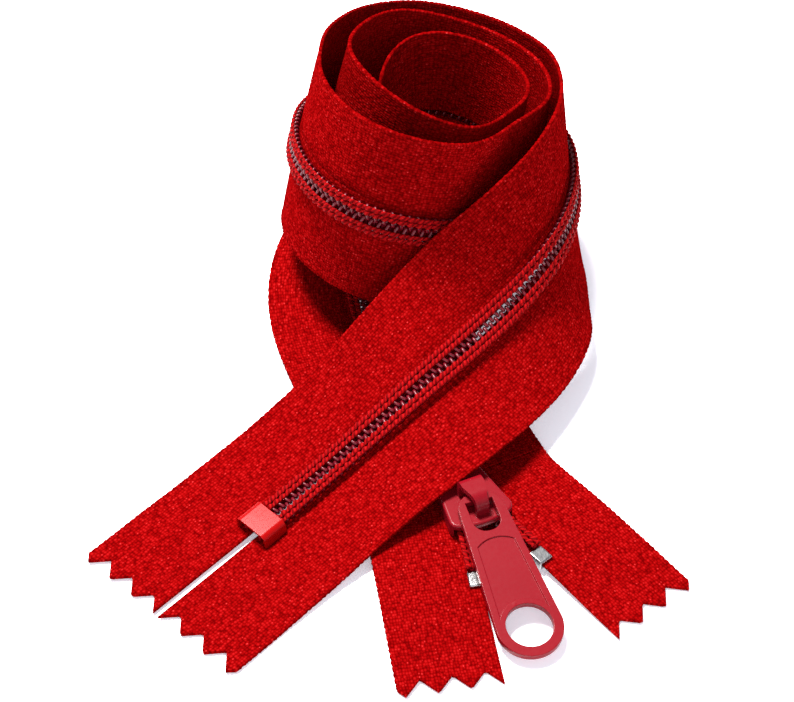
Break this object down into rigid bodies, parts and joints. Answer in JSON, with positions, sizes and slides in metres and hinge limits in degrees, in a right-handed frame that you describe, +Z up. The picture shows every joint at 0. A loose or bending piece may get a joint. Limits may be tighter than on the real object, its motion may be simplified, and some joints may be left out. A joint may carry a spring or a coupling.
{
  "type": "coil zipper",
  "caption": "Long closed-end coil zipper with a pull tab, rolled up on its tape edge, with the slider and the open tape ends lying in front.",
  "frame": {"origin": "on the surface the zipper rests on, below the middle of its outline", "axes": "+Y runs from the open tape ends in front to the roll behind, +X to the right, +Z up"},
  "size_m": [0.0916, 0.1241, 0.0425],
  "materials": {
    "tape": "woven",
    "coil": "smooth",
    "cord": "twisted",
    "thread": "satin",
    "paint": "gloss",
    "steel": "bright"
  },
  "bodies": {
    "chain": {"tape_left": "tape", "tape_right": "tape", "coil_left": "coil", "coil_right": "coil", "core_cord_left": "cord", "core_cord_right": "cord", "stitching_left": "thread", "stitching_right": "thread", "bottom_stop": "paint"},
    "left_end": {"tape_left_end": "tape", "coil_left_end": "coil", "core_cord_left_end": "cord", "stitching_left_end": "thread", "top_stop_left": "steel"},
    "right_end": {"tape_right_end": "tape", "coil_right_end": "coil", "core_cord_right_end": "cord", "stitching_right_end": "thread", "top_stop_right": "steel"},
    "slider": {"slider_body": "paint"},
    "pull": {"pull_tab": "paint"}
  },
  "joints": [
    {"name": "slider_slide", "type": "slide", "parent": "chain", "child": "slider", "axis": [0.4147, -0.91, 0], "range_m": [0, 0.0063]},
    {"name": "left_end_hinge", "type": "hinge", "parent": "chain", "child": "left_end", "pos_m": [0.01184, -0.02593, 0.00148], "axis": [0, 0, 1], "range_deg": [0, 7.3]},
    {"name": "right_end_hinge", "type": "hinge", "parent": "chain", "child": "right_end", "pos_m": [0.01184, -0.02593, 0.00148], "axis": [0, 0, 1], "range_deg": [-7.3, 0]},
    {"name": "tab_hinge", "type": "hinge", "parent": "slider", "child": "pull", "pos_m": [0.01362, -0.02984, 0.00591], "axis": [-0.9483, -0.3173, 0], "range_deg": [0, 100]}
  ],
  "couplings": [
    {"joint": "left_end_hinge", "follows": "slider_slide", "rad_per_m": 20},
    {"joint": "right_end_hinge", "follows": "slider_slide", "rad_per_m": -20}
  ]
}
